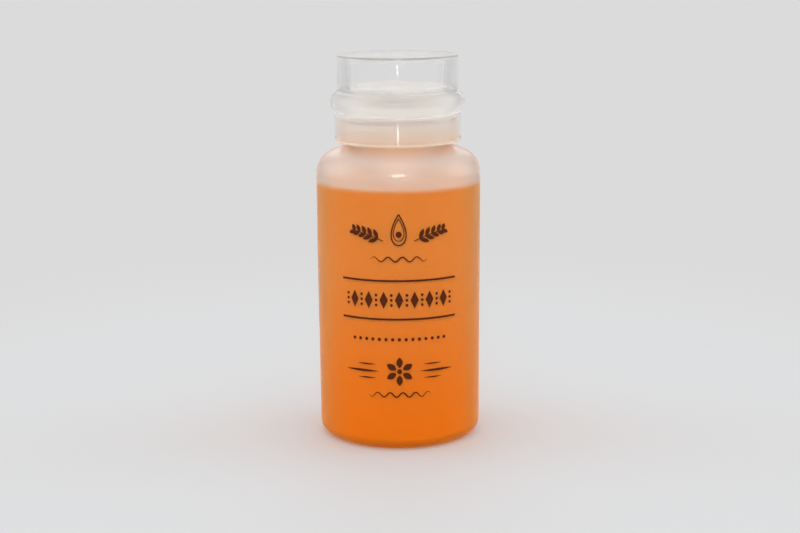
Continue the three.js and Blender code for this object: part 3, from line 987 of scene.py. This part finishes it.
# %% Guide
GUIDE_BORE = 2.52
GUIDE_BODY = 4.85
guide_radius, guide_foot, guide_top = span("guide_bush")
guide_corners = [
    (GUIDE_BORE, guide_foot, 0.15),
    (GUIDE_BODY, guide_foot, 0.25),
    (GUIDE_BODY, cup_floor + SEAT),
    (guide_radius, cup_floor + SEAT, 0.15),
    (guide_radius, guide_top, 0.4),
    (GUIDE_BORE, guide_top, 0.25),
]
mould("stem_guide", guide_corners, white_moulding, "pump_body", "guide_bush")

# %% [markdown]
# The stem is a hollow pin. Its foot and shoulder hold the piston between them, and the pocket in its head is
# the seat of the outlet ball.

# %% Stem
STEM_BORE = 0.9
STEM_RADIUS = 2.4
STEM_NECK = 1.8
STEM_FOOT = 0.8
OUTLET_DEPTH = 1.6
OUTLET_CONE = 0.7
stem_foot_radius, stem_foot, stem_top = span("pump_stem")
piston_radius, piston_foot, piston_top = span("piston_seal")
stem_corners = [
    (STEM_BORE, stem_foot),
    (stem_foot_radius, stem_foot, 0.2),
    (stem_foot_radius, stem_foot + STEM_FOOT, 0.15),
    (STEM_NECK, stem_foot + STEM_FOOT),
    (STEM_NECK, piston_top + SEAT),
    (STEM_RADIUS, piston_top + SEAT, 0.15),
    (STEM_RADIUS, stem_top, 0.2),
    (OUTLET_POCKET, stem_top, 0.15),
    (OUTLET_POCKET, stem_top - OUTLET_DEPTH),
    (STEM_BORE, stem_top - OUTLET_DEPTH - OUTLET_CONE),
]
mould("stem", stem_corners, white_moulding, "plunger", "pump_stem")

# %% [markdown]
# The piston is softer than the chamber and touches it with two lips only, so it seals with little friction.

# %% Piston
PISTON_BORE = 1.95
PISTON_WAIST = 0.6
PISTON_LIP = 0.9
LIP_SLOPE = 0.45
half = [
    (PISTON_BORE, 0.0),
    (piston_radius - PISTON_WAIST / 2, 0.0, 0.1),
    (piston_radius, LIP_SLOPE, 0.15),
    (piston_radius, PISTON_LIP, 0.1),
    (piston_radius - PISTON_WAIST, PISTON_LIP + LIP_SLOPE, 0.2),
]
piston_corners = [(radius, piston_foot + up, *rounding) for radius, up, *rounding in half]
piston_corners += [(radius, piston_top - up, *rounding) for radius, up, *rounding in half[::-1]]
mould("piston", piston_corners, soft_seal, "plunger", "piston_seal")

# %% [markdown]
# The return spring is wire wound into six turns, with the two end turns lying closer than the rest. A curve
# with a bevel would do, but the frame can only flatten a mesh, so the wire is swept here as a mesh.

# %% Return spring
WIRE_RADIUS = 0.3
SPRING_TURNS = 6
END_PITCH = 1.06
STEPS_A_TURN = 36
WIRE_SIDES = 12
spring_foot = span("ball_cage")[2] + SEAT
spring_top = piston_foot - SEAT
coil_radius = CHAMBER_INSIDE - ROOM - 2 * WIRE_RADIUS


def coil_height(turn):
    """Height of the wire's middle above its lower end, after some turns."""
    rise = spring_top - spring_foot - 2 * WIRE_RADIUS
    pitch = (rise - 2 * END_PITCH) / (SPRING_TURNS - 2)
    if turn < 1:
        return END_PITCH * turn
    if turn > SPRING_TURNS - 1:
        return rise - END_PITCH * (SPRING_TURNS - turn)
    return END_PITCH + pitch * (turn - 1)


def coil():
    """Vertices and faces of the wire, with a cap on each end."""
    vertices = []
    count = SPRING_TURNS * STEPS_A_TURN
    for step in range(count + 1):
        angle = 2 * math.pi * step / STEPS_A_TURN
        middle = spring_foot + WIRE_RADIUS + coil_height(step / STEPS_A_TURN)
        for side in range(WIRE_SIDES):
            around = 2 * math.pi * side / WIRE_SIDES
            reach = coil_radius + WIRE_RADIUS * math.cos(around)
            lift = WIRE_RADIUS * math.sin(around)
            vertices.append((reach * math.cos(angle), reach * math.sin(angle), middle + lift))
    return vertices, strip_faces(count + 1, WIRE_SIDES)


spring = make_piece("spring_coil", coil(), stainless_steel, "pump_body", "return_spring")
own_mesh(spring)

# %% [markdown]
# Two steel balls are the valves. A half circle turned about the axis makes a ball with even faces. The cage
# washer and the dip tube keep their CAD shapes, which are right as they are, and only take the finish.

# %% Valve balls, cage and dip tube
BALL_ROWS, BALL_STEPS = 20, 40


def make_ball(name, node, body):
    _, foot, top = span(node)
    radius, middle = (top - foot) / 2, (top + foot) / 2
    half = arc((0.0, middle), radius, -90, 90, BALL_ROWS)
    half[0], half[-1] = (0.0, middle - radius), (0.0, middle + radius)
    shape = turned(half, closed=False, steps=BALL_STEPS)
    make_piece(name, shape, stainless_steel, body, node)


make_ball("ball_lower", "inlet_ball", "inlet_ball")
make_ball("ball_upper", "outlet_ball", "outlet_ball")
for node in ("ball_cage", "dip_tube"):
    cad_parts[node].data.materials.clear()
    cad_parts[node].data.materials.append(white_moulding)
print("cage and dip tube keep their CAD shapes")

# %% [markdown]
# ## The print
#
# The front is screen-printed in one dark brown ink. The design is a plain one: two rules across the front, a
# drop between leaf sprigs above them, a chain of lozenges between them and a blossom below. An image texture
# could carry it, but ink as thin strips of mesh stays sharp at any distance. Every mark is a ribbon: a path
# across the wall with a width that changes along it. A leaf is a short path that swells, and a dot one that
# is as wide as it is long.

# %% Paths and widths
def straight(start, stop, steps=24):
    """Evenly spaced points from start to stop."""
    begin, end = Vector(start), Vector(stop)
    return [tuple(begin.lerp(end, i / steps)) for i in range(steps + 1)]


def even(width):
    return lambda share: width


def disc_width(radius):
    return lambda share: 2 * radius * math.sqrt(max(0.0, 1 - (2 * share - 1) ** 2))


def leaf_width(most):
    return lambda share: most * math.sin(math.pi * share) ** 0.8


def lozenge_width(most):
    return lambda share: most * (1 - abs(2 * share - 1))


print("a leaf 1 mm wide is", round(leaf_width(1.0)(0.25), 2), "mm wide at its first quarter")

# %% [markdown]
# A ribbon has a thin rectangular section and is wrapped on the wall, so that its marks keep their width on
# the round. Its top stands clear of the wall by more than a flat face sags between two points on it.

# %% Ribbons of ink
INK_TOP = 0.034
INK_FOOT = 0.01
LEAST_WIDTH = 0.04


class Print:
    """A mesh of ink ribbons, wrapped on the bottle's side."""

    def __init__(self, middle=-90.0):
        self.middle = math.radians(middle)
        self.vertices = []
        self.faces = []

    def on_wall(self, across, up, lift):
        radius = wall_radius(up)
        angle = self.middle + across / radius
        return ((radius + lift) * math.cos(angle), (radius + lift) * math.sin(angle), up)

    def ribbon(self, path, width):
        """A closed strip along (across, up) points, width(share) wide."""
        first = len(self.vertices)
        last = len(path) - 1
        for i, point in enumerate(path):
            run = Vector(path[min(i + 1, last)]) - Vector(path[max(i - 1, 0)])
            half = Vector((-run.y, run.x)).normalized() * max(width(i / last), LEAST_WIDTH) / 2
            for side, lift in ((1, INK_TOP), (-1, INK_TOP), (-1, INK_FOOT), (1, INK_FOOT)):
                spot = Vector(point) + half * side
                self.vertices.append(self.on_wall(spot.x, spot.y, lift))
        self.faces += strip_faces(len(path), 4, first)

    def dot(self, across, up, radius, steps=14):
        self.ribbon(straight((across - radius, up), (across + radius, up), steps), disc_width(radius))


front = Print()
print("the middle of the print is at", [round(value, 1) for value in front.on_wall(0.0, 40.0, INK_TOP)])

# %% [markdown]
# The rules run straight across the front. The drop above them is drawn twice, as two outlines of one curve,
# with a dot inside.

# %% Rules and drop
UPPER_RULE = 52.14
LOWER_RULE = 40.52
RULE_REACH = 18.2
RULE_WIDTH = 0.6
DROP_HEIGHT = 67.4
DROP_SLIM = 0.62
DROP_LINES = ((4.6, 0.42), (3.3, 0.28))  # size and width of each
DROP_DOT, DROP_DOT_SUNK = 0.9, 1.4


def drop_outline(size):
    """A drop standing on its round end, as points round its outline from the tip."""
    points = []
    for i in range(61):
        turn = 2 * math.pi * i / 60
        points.append((size * DROP_SLIM * math.sin(turn) * math.sin(turn / 2), size * math.cos(turn)))
    return points


for up in (UPPER_RULE, LOWER_RULE):
    front.ribbon(straight((-RULE_REACH, up), (RULE_REACH, up), 48), even(RULE_WIDTH))
for size, width in DROP_LINES:
    front.ribbon([(u, DROP_HEIGHT + v) for u, v in drop_outline(size)], even(width))
front.dot(0.0, DROP_HEIGHT - DROP_DOT_SUNK, DROP_DOT, 24)
print("rules and drop:", len(front.faces), "faces")

# %% [markdown]
# A sprig is a bent stem with pairs of leaves, which get shorter towards its end. The second sprig is its
# mirror image. A wavy line closes the upper part.

# %% Sprigs and a wave
STEM_START, STEM_RUN, STEM_SUNK = 4.6, 9.4, 3.4
STEM_RISE, STEM_BEND, STEM_WIDTH = 4.4, 1.6, 0.3
LEAF_PLACES = (5, 11, 17, 23, 28)
LEAF_LEAN, LEAF_SPREAD = 24, 42  # degrees
LEAF_LENGTH, LEAF_SHORTER, LEAF_WIDTH = 3.4, 0.045, 1.25
WAVE_RISE, WAVE_WIDTH = 0.7, 0.45


def sprig(side):
    """A curved stem beside the drop with leaves on both sides of it."""
    stem = []
    for i in range(31):
        share = i / 30
        up = DROP_HEIGHT - STEM_SUNK + STEM_RISE * share - STEM_BEND * share**2
        stem.append((side * (STEM_START + STEM_RUN * share), up))
    front.ribbon(stem, even(STEM_WIDTH))
    for place in LEAF_PLACES:
        root = Vector(stem[place])
        for way in (1, -1):
            angle = math.radians(LEAF_LEAN + way * LEAF_SPREAD)
            reach = LEAF_LENGTH - place * LEAF_SHORTER
            tip = root + Vector((side * math.cos(angle), math.sin(angle))) * reach
            front.ribbon(straight(root, tip, 14), leaf_width(LEAF_WIDTH))


def wave(height, reach, bends):
    """A wavy line that thins out towards its ends."""
    path = []
    for i in range(81):
        across = reach * (i / 40 - 1)
        path.append((across, height + WAVE_RISE * math.sin(math.pi * bends * across / reach)))
    front.ribbon(path, lambda share: WAVE_WIDTH * math.sin(math.pi * share) ** 0.5)


sprig(1)
sprig(-1)
wave(height=58.6, reach=8.5, bends=4)
print("upper print:", len(front.faces), "faces")

# %% [markdown]
# Seven lozenges stand in a row between the two rules, with three small dots in each gap. A row of larger
# dots follows below.

# %% Chain and dots
CHAIN_HEIGHT = (UPPER_RULE + LOWER_RULE) / 2
CHAIN_STEP = 4.6
LOZENGE_HALF, LOZENGE_WIDTH = 2.6, 2.5
SMALL_DOT, SMALL_STEP = 0.42, 1.5
DOT_HEIGHT = 34.4
LARGE_DOT, LARGE_STEP = 0.5, 2.0
for i in range(-3, 4):
    ends = [(i * CHAIN_STEP, CHAIN_HEIGHT + way * LOZENGE_HALF) for way in (-1, 1)]
    front.ribbon(straight(*ends), lozenge_width(LOZENGE_WIDTH))
for i in range(-4, 4):
    for way in (1, 0, -1):
        front.dot((i + 0.5) * CHAIN_STEP, CHAIN_HEIGHT + SMALL_STEP * way, SMALL_DOT)
for i in range(-7, 8):
    front.dot(i * LARGE_STEP, DOT_HEIGHT, LARGE_DOT)
print("with chain and dots:", len(front.faces), "faces")

# %% [markdown]
# The blossom has six petals round a dot, between lines that swell like leaves. A second wave ends the
# design.

# %% Blossom
BLOSSOM_HEIGHT = 24.6
BLOSSOM_DOT = 0.75
PETALS = 6
PETAL_ROOT, PETAL_LENGTH, PETAL_WIDTH = 1.15, 3.2, 1.9
SIDE_LINES = [  # up, start, stop, width
    (0.0, 6.2, 17.0, 0.75),
    (-2.1, 7.2, 13.0, 0.45),
    (2.1, 7.2, 13.0, 0.45),
]
for petal in range(PETALS):
    angle = math.radians(90 + 360 / PETALS * petal)
    way = Vector((math.cos(angle), math.sin(angle)))
    root = Vector((0.0, BLOSSOM_HEIGHT)) + way * PETAL_ROOT
    front.ribbon(straight(root, root + way * PETAL_LENGTH, 18), leaf_width(PETAL_WIDTH))
front.dot(0.0, BLOSSOM_HEIGHT, BLOSSOM_DOT, 16)
for side in (1, -1):
    for up, start, stop, width in SIDE_LINES:
        ends = [(side * across, BLOSSOM_HEIGHT + up) for across in (start, stop)]
        front.ribbon(straight(*ends), leaf_width(width))
wave(height=17.4, reach=9.5, bends=5)
make_piece("front_print", (front.vertices, front.faces), brown_ink, "bottle")

# %% [markdown]
# A single thin upright rule marks the edge of the printed area on the left side.

# %% Side rule
SIDE_ANGLE = -178.0
SIDE_FOOT, SIDE_TOP, SIDE_WIDTH = 33.0, 64.0, 0.5
edge = Print(SIDE_ANGLE)
edge.ribbon(straight((0.0, SIDE_FOOT), (0.0, SIDE_TOP), 12), even(SIDE_WIDTH))
make_piece("side_rule", (edge.vertices, edge.faces), brown_ink, "bottle")

# %% [markdown]
# ## Studio
#
# The photograph was taken in very even light against a pale ground. The floor is a plain pale disc that
# keeps the soft shadow near the bottle and turns into the same pale colour as the surroundings further out,
# for rays that the camera sees.

# %% Floor
PALE = rgb(0.716, 0.708, 0.708)
FLOOR_RINGS = (0.0, 60.0, 400.0, 6000.0)
FLOOR_COLOUR = rgb(0.615, 0.63, 0.64)
FLOOR_GAP = 0.02  # below the foot ring, so that the two flat faces never coincide
SHADOW_FROM, SHADOW_TO = 70, 320  # from the axis, where the floor turns into the pale ground


def seen(wire):
    """1 for rays that show the background: the camera's, and those through glass or off a gloss."""
    total = wire.node("ShaderNodeLightPath", output="Is Camera Ray")
    for kind in ("Is Glossy Ray", "Is Transmission Ray"):
        total = total + wire.node("ShaderNodeLightPath", output=kind)
    return wire.maths("MINIMUM", total, 1.0)


floor_finish, wire = new_finish("pale_floor")
distance = wire.node("ShaderNodeVectorMath", {"operation": "LENGTH"}, {0: where(wire)}, "Value")
floor_paint = wire.principled({"Base Color": FLOOR_COLOUR, "Roughness": 0.8})
ground = wire.node("ShaderNodeEmission", values={"Color": PALE, "Strength": 1.0})
far = seen(wire) * distance.step(SHADOW_FROM, SHADOW_TO)
close(wire, wire.node("ShaderNodeMixShader", values={0: far, 1: floor_paint, 2: ground}))
disc = [(radius, -FLOOR_GAP) for radius in FLOOR_RINGS]
floor = add("floor", make_mesh("floor", turned(disc, closed=False, steps=96)))
floor.data.materials.append(floor_finish)
print("floor:", len(floor.data.polygons), "faces")

# %% [markdown]
# The object itself is lit by a dim even sky. Rays that show the background see the pale ground instead.

# %% Sky
SKY_LIGHT = 0.8
world, wire = new_finish("even_sky", bpy.data.worlds)
bpy.context.scene.world = world
light = wire.node("ShaderNodeBackground", values={"Color": WHITE, "Strength": SKY_LIGHT})
pale = wire.node("ShaderNodeBackground", values={"Color": PALE, "Strength": 1.0})
sky = wire.node("ShaderNodeMixShader", values={0: seen(wire), 1: light, 2: pale})
wire.node("ShaderNodeOutputWorld", values={"Surface": sky})
print(world.name, "has", len(world.node_tree.nodes), "nodes")

# %% [markdown]
# Softboxes are Area lamps. One in front gives the highlight on the shoulder, two at the sides and one behind
# fill the edges, a wide one overhead lights the floor, and two narrow ones under the camera draw the thin
# upright glints on cap and collar.

# %% Lamps
def softbox(name, azimuth, elevation, distance, width, height, watts, aim):
    """A rectangular Area lamp on a sphere round the bottle, aimed at its axis."""
    turn, rise = math.radians(azimuth), math.radians(elevation)
    target = Vector((0, 0, aim))
    away = Vector((math.sin(turn) * math.cos(rise), -math.cos(turn) * math.cos(rise), math.sin(rise)))
    data = bpy.data.lights.new(name, "AREA")
    data.shape = "RECTANGLE"
    data.size, data.size_y, data.energy = width, height, watts
    lamp = add(name, data)
    lamp.location = target + away * distance
    lamp.rotation_mode = "QUATERNION"
    lamp.rotation_quaternion = (-away).to_track_quat("-Z", "Y")


MIDDLE = 0.055
LAMPS = [  # name, azimuth, elevation, distance, width, height, watts, height of the aim
    ("key", -1.0, 32.0, 1.1, 0.3, 0.24, 2.1, MIDDLE),
    ("fill_left", -100.0, 25.0, 1.4, 1.0, 1.0, 3.8, MIDDLE),
    ("fill_right", 100.0, 25.0, 1.4, 1.0, 1.0, 3.8, MIDDLE),
    ("fill_back", 180.0, 30.0, 1.4, 1.0, 1.0, 2.2, MIDDLE),
    ("overhead", 0.0, 89.0, 1.3, 1.2, 1.2, 2.0, MIDDLE),
    ("cap_glint", 0.0, 0.0, 0.7, 0.016, 0.0075, 0.027, 0.06),
    ("collar_glint", 0.0, 0.0, 0.7, 0.016, 0.019, 0.05, 0.0097),
]
for values in LAMPS:
    softbox(*values)

# %% [markdown]
# ## Camera
#
# The camera stands half a metre in front, a little above the cap, and looks down by about twelve degrees. A
# long lens keeps the cap's ellipse flat, as it is in the photograph.

# %% Camera
CAMERA_PLACE = (0.000333, -0.49135, 0.15178)
CAMERA_PITCH = 0.2014
CAMERA_ROLL = -0.0073
SENSOR = 36.0
LENS = 73.07
camera_data = bpy.data.cameras.new("camera")
camera_data.sensor_fit = "HORIZONTAL"
camera_data.sensor_width = SENSOR
camera_data.lens = LENS
camera_data.clip_start = 0.01
camera = add("camera", camera_data)
camera.location = CAMERA_PLACE
camera.rotation_mode = "QUATERNION"
tilt = Euler((math.pi / 2 - CAMERA_PITCH, 0, 0)).to_quaternion()
camera.rotation_quaternion = tilt @ Quaternion((0, 0, 1), CAMERA_ROLL)
bpy.context.scene.camera = camera
bpy.context.scene.view_settings.view_transform = "Standard"
print("camera at", [round(value, 3) for value in camera.location])
